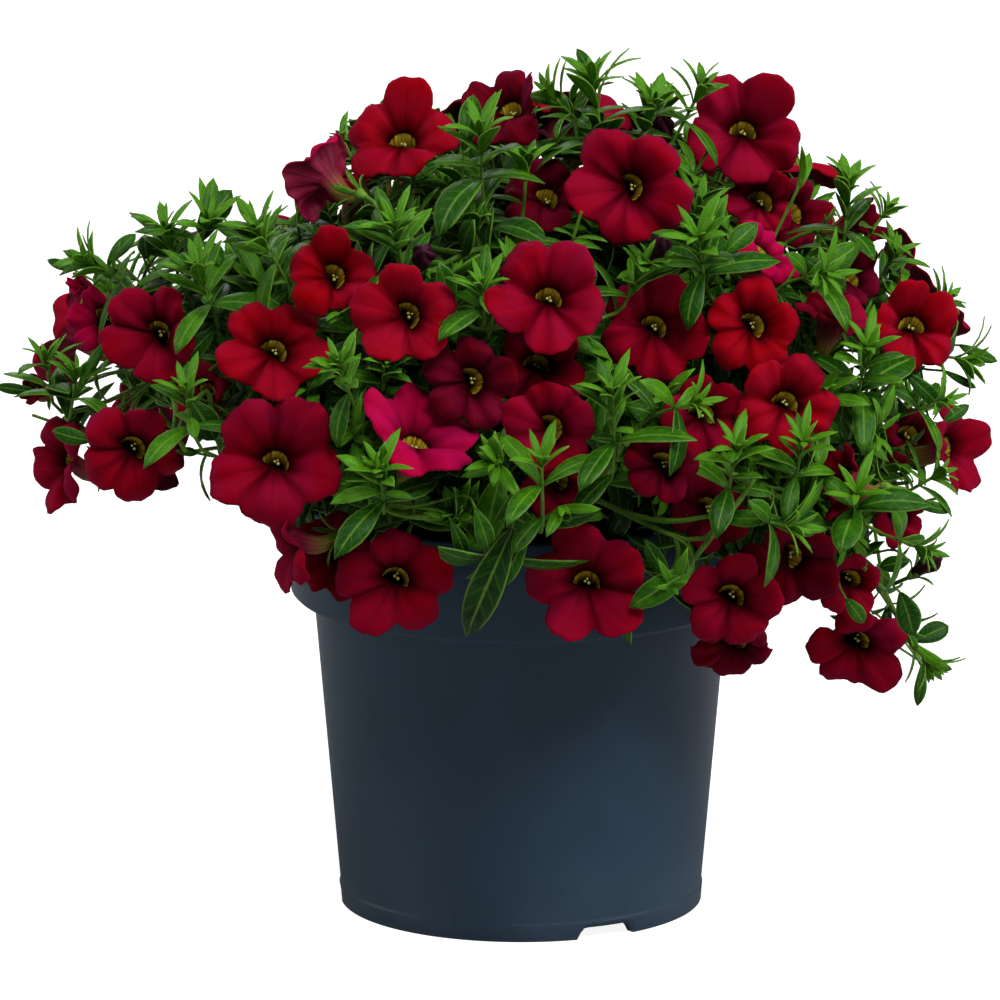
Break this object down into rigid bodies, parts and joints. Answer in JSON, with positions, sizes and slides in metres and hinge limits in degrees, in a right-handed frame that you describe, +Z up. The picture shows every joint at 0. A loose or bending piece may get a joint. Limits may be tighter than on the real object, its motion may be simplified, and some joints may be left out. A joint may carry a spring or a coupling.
{
  "type": "potted calibrachoa plant, or mini petunia, in a nursery pot",
  "caption": "Bushy red-flowered mini petunia with trailing leafy stems, growing in soil in a tapered slate-blue plastic pot that stands on a surface.",
  "frame": {"origin": "middle of the pot's foot, on the surface that the pot stands on", "axes": "+Z up; -Y is the front that the picture shows; +X to the picture's right"},
  "size_m": [0.2737, 0.2404, 0.2484],
  "materials": {
    "pot_plastic": "satin moulded plastic, slate blue-grey",
    "soil": "damp dark potting mix, crumbly",
    "foliage": "fresh green leaves and stems, finely hairy, soft sheen",
    "petals_bright": "velvety bright crimson petal",
    "petals_crimson": "velvety crimson petal",
    "petals_dark": "velvety dark crimson petal",
    "petals_magenta": "velvety petal with a pinkish magenta cast"
  },
  "bodies": {
    "root": {"pot": "pot_plastic", "soil": "soil", "spray_01": "foliage", "spray_02": "foliage", "spray_03": "foliage", "spray_04": "foliage", "spray_05": "foliage", "spray_06": "foliage", "spray_07": "foliage", "spray_08": "foliage", "spray_09": "foliage", "spray_10": "foliage", "spray_11": "foliage", "spray_12": "foliage", "spray_13": "foliage", "spray_14": "foliage", "bloom_01": "petals_crimson", "bloom_02": "petals_magenta", "bloom_03": "petals_crimson", "bloom_04": "petals_crimson", "bloom_05": "petals_crimson", "bloom_06": "petals_bright", "bloom_07": "petals_bright", "bloom_08": "petals_bright", "bloom_09": "petals_crimson", "bloom_10": "petals_crimson", "bloom_11": "petals_crimson", "bloom_12": "petals_crimson", "bloom_13": "petals_crimson", "bloom_14": "petals_bright", "bloom_15": "petals_bright", "bloom_16": "petals_bright", "bloom_17": "petals_crimson", "bloom_18": "petals_crimson", "bloom_19": "petals_crimson", "bloom_20": "petals_bright", "bloom_21": "petals_dark", "bloom_22": "petals_dark", "bloom_23": "petals_magenta", "bloom_24": "petals_dark", "bloom_25": "petals_crimson", "bloom_26": "petals_crimson", "bloom_27": "petals_crimson", "bloom_28": "petals_crimson", "bloom_29": "petals_dark", "bloom_30": "petals_dark", "bloom_31": "petals_dark", "bloom_32": "petals_dark", "bloom_33": "petals_magenta", "bloom_34": "petals_magenta", "bloom_35": "petals_crimson", "bloom_36": "petals_crimson", "bloom_37": "petals_magenta", "bloom_38": "petals_dark", "bloom_39": "petals_dark", "bloom_40": "petals_dark", "bloom_41": "petals_crimson", "bloom_42": "petals_crimson", "bloom_43": "petals_crimson", "bloom_44": "petals_dark"}
  },
  "joints": []
}
